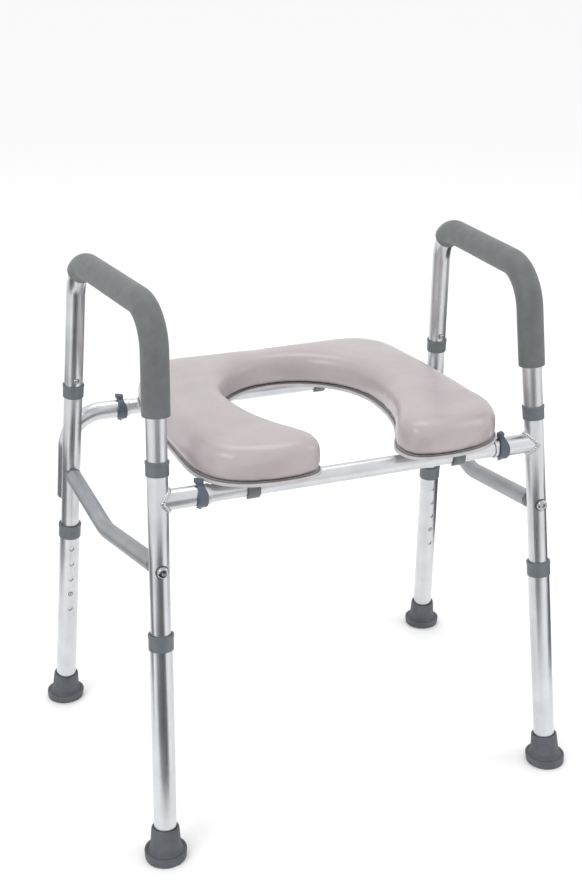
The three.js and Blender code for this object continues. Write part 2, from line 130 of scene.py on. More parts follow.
def buildStage(values):
    scene = bpy.context.scene
    scene.view_settings.view_transform = "Standard"
    world = bpy.data.worlds.new("studio")
    world.use_nodes = True
    background = world.node_tree.nodes["Background"]
    background.inputs["Color"].default_value = linear(values["sky"])
    background.inputs["Strength"].default_value = values["skyStrength"]
    scene.world = world

    reach = values["floorReach"]
    floor = flatSheet("floor", [(-reach, -reach), (reach, -reach), (reach, reach), (-reach, reach)], -0.0002)
    paint = bpy.data.materials.new("matt_white_floor")
    paint.use_nodes = True
    shader = paint.node_tree.nodes["Principled BSDF"]
    shader.inputs["Base Color"].default_value = linear(values["floor"])
    shader.inputs["Roughness"].default_value = 1.0
    shader.inputs["Specular IOR Level"].default_value = 0.0      # so that no card is mirrored in the floor
    floor.data.materials.append(paint)

    for name, place, target, width, height, watts in values["lights"]:
        lamp = bpy.data.lights.new(name, "AREA")
        lamp.shape, lamp.size, lamp.size_y, lamp.energy = "RECTANGLE", width, height, watts
        light = bpy.data.objects.new(name, lamp)
        back = np.array(place) - np.array(target)
        back /= np.linalg.norm(back)
        across = np.cross(zAxis, back)
        across /= np.linalg.norm(across)
        turn = Matrix(np.stack([across, np.cross(back, across), back], 1).tolist()).to_4x4()
        light.matrix_world = Matrix.Translation(place) @ turn
        scene.collection.objects.link(light)

    for name, corners, grey in values["cards"]:
        card = flatSheet(name, corners, 0.004)
        # the card's grey shows only as a painted dark reflection in the tubes
        paintedReflection = bpy.data.materials.new(name + "_felt")
        paintedReflection.use_nodes = True
        paintedReflection.node_tree.nodes["Principled BSDF"].inputs["Base Color"].default_value = linear(grey)
        paintedReflection.node_tree.nodes["Principled BSDF"].inputs["Roughness"].default_value = 0.9
        card.data.materials.append(paintedReflection)
        for ray in ("camera", "diffuse", "transmission", "volume_scatter", "shadow"):
            setattr(card, "visible_" + ray, False)


placeCamera(cameraSet)
buildStage(stageSet)
print("raised seat: camera, floor and light")


def startMaterial(name, settings):
    material = bpy.data.materials.new(name)
    material.use_nodes = True
    tree = material.node_tree
    tree.nodes.clear()
    shader = addNode(tree, "ShaderNodeBsdfPrincipled", settings)
    addNode(tree, "ShaderNodeOutputMaterial", links={"Surface": shader.outputs["BSDF"]})
    return material, tree, shader


def mottle(tree, vector, grain, low, high, detail=3.0):
    # noise with spots about grain metres across, spread between two values
    noise = addNode(tree, "ShaderNodeTexNoise", {"Scale": 1 / grain, "Detail": detail}, {"Vector": vector})
    return addNode(
        tree, "ShaderNodeMapRange", {"From Min": 0.3, "From Max": 0.7, "To Min": low, "To Max": high},
        {"Value": noise.outputs["Fac"]}).outputs["Result"]


def mixColours(tree, factor, first, second):
    # sockets 6 and 7 are the two colours of a mix node, and output 2 is its colour
    settings = {"data_type": "RGBA", 6: linear(first), 7: linear(second)}
    return addNode(tree, "ShaderNodeMix", settings, {0: factor}).outputs[2]


def bump(tree, shader, height, distance, strength=0.5):
    made = addNode(
        tree, "ShaderNodeBump", {"Strength": strength, "Distance": distance}, {"Height": height})
    tree.links.new(made.outputs["Normal"], shader.inputs["Normal"])


def tubeMetal(name, light, dark, roughness, lineBump):
    # drawn lines run along the tube: spots 0.8 mm round it and 60 mm along it, coarser than real ones so
    # that they show
    material, tree, shader = startMaterial(name, {"Metallic": 1.0})
    along = addNode(tree, "ShaderNodeUVMap", {"uv_map": "tubeLength"}).outputs["UV"]
    stretch = addNode(tree, "ShaderNodeMapping", {"Scale": (1 / 0.0008, 1 / 0.06, 1)}, {"Vector": along})
    lines = addNode(tree, "ShaderNodeTexNoise", {"Scale": 1.0, "Detail": 2.0}, {"Vector": stretch.outputs[0]})
    place = addNode(tree, "ShaderNodeTexCoord").outputs["Object"]
    cloud = mottle(tree, place, 0.035, 0.0, 1.0)
    tree.links.new(mixColours(tree, cloud, light, dark), shader.inputs["Base Color"])
    spread = addNode(
        tree, "ShaderNodeMapRange",
        {"From Min": 0.3, "From Max": 0.7, "To Min": roughness[0], "To Max": roughness[1]},
        {"Value": lines.outputs["Fac"]})
    tree.links.new(spread.outputs["Result"], shader.inputs["Roughness"])
    bump(tree, shader, lines.outputs["Fac"], lineBump)
    return material


def drawnAluminium():
    # extruded and drawn tube, satin anodised: bright, with soft streaks along its length
    return tubeMetal("drawn_anodised_aluminium", "#D9DBDE", "#CBCDD1", (0.26, 0.34), 0.00001)


def blastedAluminium():
    # bead-blasted and anodised tube: a flat grey that spreads every highlight
    return tubeMetal("blasted_anodised_aluminium", "#ACAFB2", "#9EA1A5", (0.42, 0.52), 0.00003)


def weldedAluminium():
    # the bead left by a TIG torch: the same metal, cast rather than drawn, with a bright rippled face
    material, tree, shader = startMaterial("welded_aluminium_bead", {"Metallic": 1.0})
    place = addNode(tree, "ShaderNodeTexCoord").outputs["Object"]
    cloud = mottle(tree, place, 0.002, 0.0, 1.0)
    tree.links.new(mixColours(tree, cloud, "#DADBDD", "#B5B7BA"), shader.inputs["Base Color"])
    tree.links.new(mottle(tree, place, 0.0015, 0.18, 0.4), shader.inputs["Roughness"])
    bump(tree, shader, mottle(tree, place, 0.0012, 0.0, 1.0), 0.0001)
    return material


def mouldedPlastic(name, light, dark, roughness, grain, depth, ior=1.5):
    # injection moulded: an even colour with a fine spark-eroded texture that dulls the highlight
    material, tree, shader = startMaterial(name, {"Metallic": 0.0, "IOR": ior})
    place = addNode(tree, "ShaderNodeTexCoord").outputs["Object"]
    cloud = mottle(tree, place, 0.018, 0.0, 1.0)
    tree.links.new(mixColours(tree, cloud, light, dark), shader.inputs["Base Color"])
    tree.links.new(mottle(tree, place, 4 * grain, *roughness), shader.inputs["Roughness"])
    bump(tree, shader, mottle(tree, place, grain, 0.0, 1.0, 1.0), depth)
    return material


moulded = {
    # name, light and dark colour, roughness, grain and its depth in metres, index of refraction
    "collar": ("moulded_grey_nylon", "#656B6F", "#5A6165", (0.38, 0.5), 0.0009, 0.00003, 1.53),
    "clip": ("moulded_slate_nylon", "#55606D", "#485260", (0.34, 0.46), 0.0009, 0.00003, 1.53),
    "black": ("moulded_black_nylon", "#3A3B3D", "#303133", (0.34, 0.44), 0.0009, 0.00003, 1.53),
    # compression-moulded rubber: dull and blotchy
    "foot": ("moulded_grey_rubber", "#585B61", "#494C51", (0.55, 0.72), 0.0011, 0.00008, 1.52),
    "board": ("moulded_polypropylene", "#C3BEBE", "#B3AEAF", (0.4, 0.5), 0.0012, 0.00004, 1.49),
}


def foamVinyl():
    # vinyl foam sleeve with a dipped skin: matte, faintly pebbled, with a little sheen
    material = mouldedPlastic("dipped_foam_vinyl", "#636767", "#595D5D", (0.52, 0.62), 0.0016, 0.00006, 1.5)
    shader = material.node_tree.nodes["Principled BSDF"]
    shader.inputs["Sheen Weight"].default_value = 0.12
    shader.inputs["Sheen Roughness"].default_value = 0.5
    return material


def platedSteel():
    # nickel-plated steel: mirror bright with a few hairline marks
    material, tree, shader = startMaterial("nickel_plated_steel", {"Metallic": 1.0})
    place = addNode(tree, "ShaderNodeTexCoord").outputs["Object"]
    cloud = mottle(tree, place, 0.004, 0.0, 1.0)
    tree.links.new(mixColours(tree, cloud, "#B9BBBE", "#A7A9AC"), shader.inputs["Base Color"])
    tree.links.new(mottle(tree, place, 0.0015, 0.08, 0.2), shader.inputs["Roughness"])
    return material


def foamSkin():
    # self-skinned polyurethane foam: a closed satin skin with a very fine leathery grain
    material, tree, shader = startMaterial("self_skinned_polyurethane", {"Metallic": 0.0, "IOR": 1.48})
    shader.inputs["Coat Weight"].default_value = 0.45
    shader.inputs["Coat Roughness"].default_value = 0.24
    place = addNode(tree, "ShaderNodeTexCoord").outputs["Object"]
    cloud = mottle(tree, place, 0.06, 0.0, 1.0)
    tree.links.new(mixColours(tree, cloud, "#AFA5A7", "#A69C9E"), shader.inputs["Base Color"])
    tree.links.new(mottle(tree, place, 0.01, 0.3, 0.38), shader.inputs["Roughness"])
    cells = addNode(tree, "ShaderNodeTexVoronoi", {"Scale": 1 / 0.0014}, {"Vector": place})
    bump(tree, shader, cells.outputs["Distance"], 0.00003, 0.35)
    return material


finishes = {
    "drawn": drawnAluminium(), "blasted": blastedAluminium(), "weld": weldedAluminium(),
    "collar": mouldedPlastic(*moulded["collar"]), "clip": mouldedPlastic(*moulded["clip"]),
    "black": mouldedPlastic(*moulded["black"]), "grip": foamVinyl(),
    "foot": mouldedPlastic(*moulded["foot"]), "steel": platedSteel(),
    "board": mouldedPlastic(*moulded["board"]), "seat": foamSkin(),
}
print("raised seat: materials")


def gridFaces(rows, columns, closeRows, closeColumns):
    # the four corners of every cell of a grid, as row and column numbers that may run past the last one
    row, column = np.meshgrid(
        np.arange(rows if closeRows else rows - 1), np.arange(columns if closeColumns else columns - 1),
        indexing="ij")
    rowCorners = np.stack([row, row, row + 1, row + 1], -1)
    columnCorners = np.stack([column, column + 1, column + 1, column], -1)
    return rowCorners, columnCorners


def meshPiece(name, grids, caps=(), sharp=40):
    # Joins grids of points into one closed mesh. A grid is a dictionary: points (rows, columns, 3),
    # closeRows, closeColumns, keep (cells to keep) and uv (one row and column more where that way closes).
    points, faces, uvs, start = [], [], [], 0
    for grid in grids:
        place = grid["points"]
        rows, columns = place.shape[:2]
        rowCorners, columnCorners = gridFaces(
            rows, columns, grid.get("closeRows", False), grid.get("closeColumns", True))
        if "keep" in grid:
            rowCorners, columnCorners = rowCorners[grid["keep"]], columnCorners[grid["keep"]]
        rowCorners, columnCorners = rowCorners.reshape(-1, 4), columnCorners.reshape(-1, 4)
        faces.append(start + (rowCorners % rows) * columns + columnCorners % columns)
        uv = grid.get("uv", np.zeros((rows + 1, columns + 1, 2)))
        uvs.append(uv[rowCorners, columnCorners].reshape(-1, 2))
        points.append(place.reshape(-1, 3))
        start += rows * columns
    polygons = np.concatenate(faces).tolist() + [list(cap) for cap in caps]
    mesh = bpy.data.meshes.new(name)
    mesh.from_pydata(np.concatenate(points).tolist(), [], polygons)
    layer = mesh.uv_layers.new(name="tubeLength")
    flat = np.zeros((len(mesh.loops), 2))
    known = np.concatenate(uvs)
    flat[:len(known)] = known
    layer.data.foreach_set("uv", flat.ravel().astype(np.float32))
    work = bmesh.new()
    work.from_mesh(mesh)
    bmesh.ops.remove_doubles(work, verts=work.verts, dist=2e-6)
    bmesh.ops.recalc_face_normals(work, faces=work.faces)
    work.to_mesh(mesh)
    work.free()
    mesh.polygons.foreach_set("use_smooth", np.ones(len(mesh.polygons), bool))
    mesh.set_sharp_from_angle(angle=np.radians(sharp))
    piece = bpy.data.objects.new(name, mesh)
    bpy.context.scene.collection.objects.link(piece)
    return piece


def settle(piece, finish, slotName, rideNode, *replaced):
    # gives a finished piece its material, the body it moves with, and the nodes it stands for
    piece.data.materials.append(finishes[finish])
    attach(piece, bodyOf[rideNode])
    if replaced:
        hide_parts(*replaced)


def unit(vector):
    vector = np.asarray(vector, float)
    return vector / np.linalg.norm(vector, axis=-1, keepdims=True)


def straightLine(start, finish, normal):
    start, finish = np.asarray(start, float), np.asarray(finish, float)
    along = unit(finish - start)
    normal = unit(normal - np.dot(normal, along) * along)
    side = np.cross(along, normal)
    return {
        "s": np.array([0, np.linalg.norm(finish - start)]), "at": np.stack([start, finish]),
        "along": np.stack([along] * 2), "normal": np.stack([normal] * 2), "side": np.stack([side] * 2),
    }


def bentLine(corners, bendRadius, normal, stepDegrees=3.0):
    # A tube's middle line: straight runs joined by arcs, each tangent to both its runs, with a station every
    # few degrees. The normal is carried along without twisting.
    corners = [np.asarray(corner, float) for corner in corners]
    directions = [unit(b - a) for a, b in zip(corners, corners[1:])]
    at, along = [corners[0][None]], [directions[0][None]]
    for corner, before, after in zip(corners[1:-1], directions, directions[1:]):
        turn = np.arccos(np.clip(before @ after, -1, 1))
        centre = corner + unit(after - before) * bendRadius / np.cos(turn / 2)
        outward = unit(corner - before * bendRadius * np.tan(turn / 2) - centre)
        angle = np.linspace(0, turn, max(3, int(np.degrees(turn) / stepDegrees) + 1))[:, None]
        at.append(centre + bendRadius * (np.cos(angle) * outward + np.sin(angle) * before))
        along.append(np.cos(angle) * before - np.sin(angle) * outward)
    at = np.concatenate(at + [corners[-1][None]])
    along = np.concatenate(along + [directions[-1][None]])
    normals = [unit(normal - np.dot(normal, along[0]) * along[0])]
    for direction in along[1:]:
        normals.append(unit(normals[-1] - np.dot(normals[-1], direction) * direction))
    normals = np.stack(normals)
    length = np.concatenate([[0], np.cumsum(np.linalg.norm(np.diff(at, axis=0), axis=1))])
    return {"s": length, "at": at, "along": along, "normal": normals, "side": np.cross(along, normals)}


def placeOn(line, s, radius, angle):
    # the point at distance s along the line, a radius away from it, at an angle turned from its normal
    s, radius, angle = np.broadcast_arrays(
        np.asarray(s, float), np.asarray(radius, float), np.asarray(angle, float))

    def read(key):
        return np.stack([np.interp(s, line["s"], line[key][:, axis]) for axis in range(3)], -1)

    past = (s - np.clip(s, line["s"][0], line["s"][-1]))[..., None]
    round_ = np.cos(angle)[..., None] * read("normal") + np.sin(angle)[..., None] * read("side")
    return read("at") + past * read("along") + radius[..., None] * round_


def softCorners(corners, radius, closed=True, steps=5):
    # A polygon with every corner rounded by a parabola that leaves and joins the edges a radius away, and a
    # point just outside each end of it, so that flat faces stay flat when they are shaded.
    corners = np.asarray(corners, float)
    count = len(corners)
    t = np.linspace(0, 1, steps)[:, None]
    made = []
    for i in range(count):
        if not closed and i in (0, count - 1):
            made.append(corners[i][None])
            continue
        before, corner, after = corners[i - 1], corners[i], corners[(i + 1) % count]
        lengthBefore, lengthAfter = np.linalg.norm(before - corner), np.linalg.norm(after - corner)
        reach = min(radius, 0.42 * lengthBefore, 0.42 * lengthAfter)
        towardBefore, towardAfter = (before - corner) / lengthBefore, (after - corner) / lengthAfter
        first, last = corner + towardBefore * reach, corner + towardAfter * reach
        arc = (1 - t) ** 2 * first + 2 * t * (1 - t) * corner + t ** 2 * last
        made.append(np.concatenate([
            (first + towardBefore * reach * 0.15)[None], arc, (last + towardAfter * reach * 0.15)[None]]))
    return np.concatenate(made)


def turnedGrid(line, profile, closed, columns=72, angleFrom=0.0):
    # a profile of (distance along the line, radius) points carried round the line
    angle = angleFrom + np.arange(columns) * 2 * np.pi / columns
    s, radius = profile[:, :1], profile[:, 1:]
    points = placeOn(line, s, radius, angle[None])
    extended = np.concatenate([profile, profile[:1]])
    u = np.arange(columns + 1) * 2 * np.pi / columns * np.max(profile[:, 1])
    uv = np.stack(np.broadcast_arrays(u[None], extended[:, :1]), -1)
    return {"points": points, "closeRows": closed, "closeColumns": True, "uv": uv}


holeSet = {"columns": 72, "halfCells": 4, "rim": 0.35 * mm}


def drilledTube(line, low, high, outer, bore, holes=(), lip=0.5 * mm, mitre=None):
    # A tube wall: the outer face, a rounded end, the bore and the other end are one closed profile carried
    # along the line. Round each hole a square of cells is left out, and a ring of cells takes its place: it
    # runs from the square in to the hole's edge, over the rim, down the wall and out again on the bore.
    columns, halfCells, rim = holeSet["columns"], holeSet["halfCells"], holeSet["rim"]
    cell = 2 * np.pi / columns
    knots, radii = outer if isinstance(outer, tuple) else ([low, high], [outer, outer])

    def outerAt(s):
        return np.interp(s, knots, radii)

    windows = [(h - halfCells * cell * outerAt(h), h + halfCells * cell * outerAt(h)) for _, h, _ in holes]
    free = [s for s in [*line["s"], *knots, low + 2 * lip, high - 2 * lip]
            if low + lip < s < high - lip and not any(a < s < b for a, b in windows)]
    ruled = [np.linspace(a, b, 2 * halfCells + 1) for a, b in windows]
    rows = np.concatenate([[low + lip, high - lip], free, *ruled])
    rows = np.unique(np.round(rows, 7))
    bend = np.radians([30, 60])
    wall = outerAt(rows[-1]) - bore
    bend = np.stack([np.sin(bend), np.cos(bend)], 1)
    endHigh = np.concatenate([
        np.stack([high - lip + lip * bend[:, 0], outerAt(high) - lip + lip * bend[:, 1]], 1),
        [[high, outerAt(high) - lip], [high, bore + min(lip, wall / 3)]]])
    endLow = np.concatenate([
        [[low, bore + min(lip, wall / 3)], [low, outerAt(low) - lip]],
        np.stack([low + lip - lip * bend[::-1, 0], outerAt(low) - lip + lip * bend[::-1, 1]], 1)])
    profile = np.concatenate([
        np.stack([rows, outerAt(rows)], 1), endHigh,
        np.stack([rows[::-1], np.full(len(rows), bore)], 1), endLow])
    face = np.concatenate([
        np.full(len(rows), 1), np.zeros(len(endHigh)), np.full(len(rows), -1), np.zeros(len(endLow))])
    grid = turnedGrid(line, profile, True, columns)
    keep = np.ones((len(profile), columns), bool)
    nextFace = np.roll(face, -1)
    centre = (profile[:, 0] + np.roll(profile[:, 0], -1)) / 2
    rings = []
    for (angle, height, radius), (start, finish) in zip(holes, windows):
        firstColumn = int(round(angle / cell)) - halfCells
        inWindow = (face != 0) & (face == nextFace) & (centre > start) & (centre < finish)
        across = np.arange(firstColumn, firstColumn + 2 * halfCells) % columns
        keep[np.ix_(inWindow, across)] = False

        run = np.arange(-halfCells, halfCells)
        full = np.full(2 * halfCells, halfCells)
        squareX = np.concatenate([run, full, -run, -full]) * cell * outerAt(height)
        squareY = np.concatenate([-full, run, full, -run]) / halfCells * (finish - height)
        direction = np.arctan2(squareY, squareX)
        circle = np.stack([np.cos(direction), np.sin(direction)])
        square = np.stack([squareX, squareY])
        blend = [0, 0.45, 0.8, 1]
        turn = np.radians([30, 60, 90])
        flats = [(1 - b) * square + b * (radius + rim) * circle for b in blend]
        rims = [(radius + rim * (1 - np.sin(a))) * circle for a in turn]
        offsets = flats + rims + rims[::-1] + flats[::-1]
        outerDepth = [0] * len(flats) + list(rim * (1 - np.cos(turn)))
        outerRadius = outerAt(height) - np.array(outerDepth)
        innerRadius = bore + np.array(outerDepth)[::-1]
        offsets = np.stack(offsets)
        radiusRows = np.concatenate([outerRadius, innerRadius])[:, None]
        s = height + offsets[:, 1]
        turned = angle + offsets[:, 0] / outerAt(height)
        ring = {"points": placeOn(line, s, radiusRows, turned), "closeColumns": True}
        uv = np.stack([turned * outerAt(height), s], -1)
        ring["uv"] = np.concatenate([
            np.concatenate([uv, uv[:, :1]], 1), np.zeros((1, len(direction) + 1, 2))])
        rings.append(ring)
    grid["keep"] = keep
    if mitre is not None:
        grid["points"] = mitre(grid["points"])
    return [grid, *rings]


def anticlockwise(outline):
    following = np.roll(outline, -1, 0)
    area = np.sum(outline[:, 0] * following[:, 1] - outline[:, 1] * following[:, 0])
    return outline if area > 0 else outline[::-1]


def insetOutline(outline, amount):
    # every point moved inwards, square to the outline, by the amount; the outline runs anticlockwise
    edge = unit(np.roll(outline, -1, 0) - outline)
    before = np.roll(edge, 1, 0)
    inward = unit(np.stack([-(edge + before)[:, 1], (edge + before)[:, 0]], 1))
    share = np.maximum(np.sum(inward * np.stack([-edge[:, 1], edge[:, 0]], 1), 1, keepdims=True), 0.5)
    return outline + inward * amount / share


def prismPiece(name, outline, origin, axisU, axisV, axisW, width, edge):
    # A flat outline in the plane of two axes, given its width along the third, with both rims rounded over.
    outline = anticlockwise(np.asarray(outline, float))
    turn = np.linspace(0, np.pi / 2, 5)
    inset = np.concatenate([edge * (1 - np.sin(turn)), edge * (1 - np.sin(turn[::-1]))])
    level = np.concatenate([edge * (1 - np.cos(turn)), width - edge * (1 - np.cos(turn[::-1]))])
    rows = np.stack([insetOutline(outline, amount) for amount in inset])
    points = (np.asarray(origin, float) + rows[..., :1] * axisU + rows[..., 1:] * axisV
              + level[:, None, None] * np.asarray(axisW, float))
    count = len(outline)
    last = (len(rows) - 1) * count
    caps = [range(count), range(last, last + count)]
    return meshPiece(name, [{"points": points}], caps)


def readPost(side, end):
    # a post's axis, read from the foot's mount and the leg's slide
    mount = next(m for m in record["mounts"] if m["name"] == f"{side}_{end}_foot_base")
    slide = next(j for j in frame["joints"] if j["name"] == f"{side}_{end}_leg_height")
    floor, up = np.array(mount["pos_m"]), -unit(slide["axis"])
    back = np.cross(up, unit(np.cross(yAxis, up)))
    inward = -ends[end] * back
    return {
        "floor": floor, "up": up, "back": back, "inward": inward,
        "line": straightLine(floor, floor + up, inward),
        "at": lambda z: floor + up * z / up[2],
        "along": lambda z: z / up[2],
    }


posts = {(side, end): readPost(side, end) for side in sides for end in ends}
frontRail = np.array(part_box("front_rail")).mean(0)
rearRail = np.array(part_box("rear_rail")).mean(0)

tubeSet = {
    "tube": 12.7 * mm, "tubeBore": 11.45 * mm,
    "leg": 14.3 * mm, "legBore": 13.1 * mm,
    "rail": 11.1 * mm, "railBore": 9.9 * mm,
    "gap": 0.3 * mm,
}
postSet = {
    "foot": 157.5 * mm,              # low enough to fill the lowest leg hole from behind
    "knee": 508 * mm, "top": 551 * mm,
    "bolt": 382.5 * mm, "boltHole": 3.3 * mm, "armButton": 526 * mm, "buttonHole": 3.5 * mm,
}


def addPost(side, end):
    post = posts[side, end]
    low, knee, high = (post["along"](postSet[key]) for key in ("foot", "knee", "top"))
    radii = ([low, knee - 3 * mm, knee, high], [tubeSet["tube"]] * 2 + [tubeSet["rail"]] * 2)
    bolt = post["along"](postSet["bolt"])
    holes = [
        (0.0, post["along"](legSet["button"]), postSet["buttonHole"]),
        (0.0, bolt, postSet["boltHole"]), (np.pi, bolt, postSet["boltHole"]),
        (0.0, post["along"](postSet["armButton"]), postSet["buttonHole"]),
    ]
    node = f"{side}_{end}_post"
    tube = meshPiece(node + "_tube", drilledTube(post["line"], low, high, radii, tubeSet["railBore"], holes))
    settle(tube, "drawn", "tube_aluminium", node, node)


collarSet = {
    "height": 18 * mm, "radius": 14.25 * mm, "lip": 14.8 * mm, "lipHeight": 3.2 * mm,
    "bore": 12.85 * mm, "soft": 0.7 * mm,
}


def addArmCollar(side, end):
    # moulded ring over the joint, with a low lip round its top
    post, c = posts[side, end], collarSet
    middle = post["along"](postSet["knee"])
    low, high = middle - c["height"] / 2, middle + c["height"] / 2
    profile = softCorners([
        (low, c["bore"]), (low, c["radius"]), (high - c["lipHeight"] - 0.5 * mm, c["radius"]),
        (high - c["lipHeight"], c["lip"]), (high, c["lip"]), (high, c["bore"])], c["soft"])
    node = f"{side}_{end}_arm_collar"
    ring = meshPiece(node + "_ring", [turnedGrid(post["line"], profile, True)])
    settle(ring, "collar", "collar_plastic", node, node)


legSet = {
    "low": 10 * mm, "high": 298 * mm, "button": 189 * mm, "pitch": 25.4 * mm, "hole": 3.6 * mm,
    "collarHeight": 20 * mm, "collarTop": 16.1 * mm, "collarWaist": 15.6 * mm, "crown": 2.5 * mm,
}


def addLeg(side, end):
    post, c = posts[side, end], legSet
    low, high, button = (post["along"](c[key]) for key in ("low", "high", "button"))
    holes = [(0.0, button + step * c["pitch"], c["hole"]) for step in (-1, 0, 1, 2, 3)]
    node = f"{side}_{end}_leg"
    grids = drilledTube(post["line"], low, high, tubeSet["leg"], tubeSet["legBore"], holes)
    settle(meshPiece(node + "_tube", grids), "drawn", "tube_aluminium", node, node)

    crown, skirt = high + c["crown"], high + c["crown"] - c["collarHeight"]
    bore, lipBore, lipHeight = tubeSet["leg"] + tubeSet["gap"], tubeSet["tube"] + tubeSet["gap"], 4 * mm
    profile = softCorners([
        (skirt, bore), (skirt, c["collarWaist"]), (crown - lipHeight - 0.8 * mm, c["collarWaist"]),
        (crown - lipHeight, c["collarTop"]), (crown, c["collarTop"]), (crown, lipBore),
        (high + tubeSet["gap"], lipBore), (high + tubeSet["gap"], bore)], 0.8 * mm)
    ring = meshPiece(node + "_collar_ring", [turnedGrid(post["line"], profile, True)])
    settle(ring, "collar", "collar_plastic", node + "_collar", node + "_collar")


footSet = {
    "top": 42 * mm, "rim": 17.4 * mm, "neck": 18.0 * mm, "waist": 19.3 * mm, "waistHeight": 20 * mm,
    "base": 27.2 * mm, "sole": 25.7 * mm, "baseHeight": 11.5 * mm, "dish": 21.2 * mm, "dishHeight": 10.9 * mm,
    "levelTop": 13 * mm, "levelEnd": 28 * mm,
}


def addFoot(side, end):
    # A rubber tip: a neck that widens downwards, a shoulder dished all round it, and a broad base whose side
    # leans in towards the sole. Up to levelTop its rings lie level with the floor although the post leans,
    # and between there and levelEnd they turn square to the post.
    post, c = posts[side, end], footSet
    top, low = post["along"](c["top"]), post["along"](legSet["low"])
    bore = tubeSet["leg"] + tubeSet["gap"]
    profile = softCorners([
        (0.0, 0.0), (0.0, c["sole"]), (1.5 * mm, c["sole"] + 0.7 * mm), (c["baseHeight"], c["base"]),
        (c["baseHeight"] + 0.2 * mm, c["base"] - 3 * mm), (c["dishHeight"], c["dish"] + 1.2 * mm),
        (c["dishHeight"] + 2 * mm, c["dish"] - 0.4 * mm), (c["waistHeight"], c["waist"]),
        (top - 3.5 * mm, c["neck"]), (top, c["rim"]), (top, bore),
        (low - tubeSet["gap"], bore), (low - tubeSet["gap"], 0.0)], 1.5 * mm, closed=False)
    grid = turnedGrid(post["line"], profile, False)
    height = profile[:, :1]
    share = np.clip((c["levelEnd"] - height) / (c["levelEnd"] - c["levelTop"]), 0, 1)
    share = share * share * (3 - 2 * share)
    inside = (profile[:, 1] <= bore) & (profile[:, 0] > 1 * mm)
    share[inside] = 0
    points = grid["points"]
    tilt = share * (points[..., 2] - height * post["up"][2])
    grid["points"] = points - tilt[..., None] * post["up"] / post["up"][2]
    node = f"{side}_{end}_foot"
    settle(meshPiece(node + "_tip", [grid]), "foot", "foot_rubber", node, node)


buttonSet = {
    "radius": 3.2 * mm, "legTip": 15.9 * mm, "armTip": 14.5 * mm, "dome": 2.2 * mm, "travel": 4 * mm,
    "leafWidth": 5 * mm, "leaf": 1.2 * mm, "nearArm": 5 * mm, "farEnd": 30 * mm, "clearance": 0.7 * mm,
}


def addButton(side, end, which):
    # a domed head on the end of a leaf spring that is folded to a V inside the tube, with its far arm
    # clear of the far wall by the head's travel, so that a pressed button stays inside
    post, c = posts[side, end], buttonSet
    height = post["along"](legSet["button"] if which == "leg" else postSet["armButton"])
    tip = c["legTip"] if which == "leg" else c["armTip"]
    fold = 1 if which == "leg" else -1
    wall = tubeSet["railBore"] - 1 * mm
    centre = post["floor"] + post["up"] * height
    line = straightLine(centre, centre + post["inward"], post["up"])
    turn = np.linspace(0, np.pi / 2, 9)
    dome = np.stack([tip - c["dome"] * (1 - np.sin(turn)), c["radius"] * np.cos(turn) ** 0.8], 1)
    profile = np.concatenate([
        [[wall - 1 * mm, 0], [wall - 1 * mm, c["radius"]], [wall - 0.6 * mm, c["radius"]]], dome])
    profile[-1, 1] = 0
    node = f"{side}_{end}_{which}_button"
    head = meshPiece(node + "_head", [turnedGrid(line, profile, False, 32)])
    settle(head, "steel", "bright_steel", node, node)
    farArm = c["travel"] + c["clearance"] - wall
    leaf = np.array([
        [wall, -c["nearArm"]], [wall, c["nearArm"]], [farArm + 1.5 * mm, c["farEnd"]],
        [farArm, c["farEnd"] - 3 * mm], [wall - c["leaf"], c["nearArm"] - 1.5 * mm],
        [wall - c["leaf"], -c["nearArm"]]]) * [1, fold]
    across = np.cross(post["inward"], post["up"])
    origin = centre - across * c["leafWidth"] / 2
    outline = softCorners(leaf, 0.6 * mm)
    spring = prismPiece(
        node + "_leaf", outline, origin, post["inward"], post["up"], across, c["leafWidth"], 0.2 * mm)
    settle(spring, "steel", "bright_steel", node, node)


for side, end in posts:
    addPost(side, end)
    addArmCollar(side, end)
    addLeg(side, end)
    addFoot(side, end)
    addButton(side, end, "leg")
    addButton(side, end, "arm")
print("raised seat: posts, legs and feet")

armSet = {
    "top": 694 * mm, "bend": 55 * mm, "start": 508.5 * mm, "grip": 17.2 * mm, "gripBore": 13.0 * mm,
    "gripEnd": 570 * mm, "gripSoft": 2.2 * mm, "rearShare": 0.5,
}


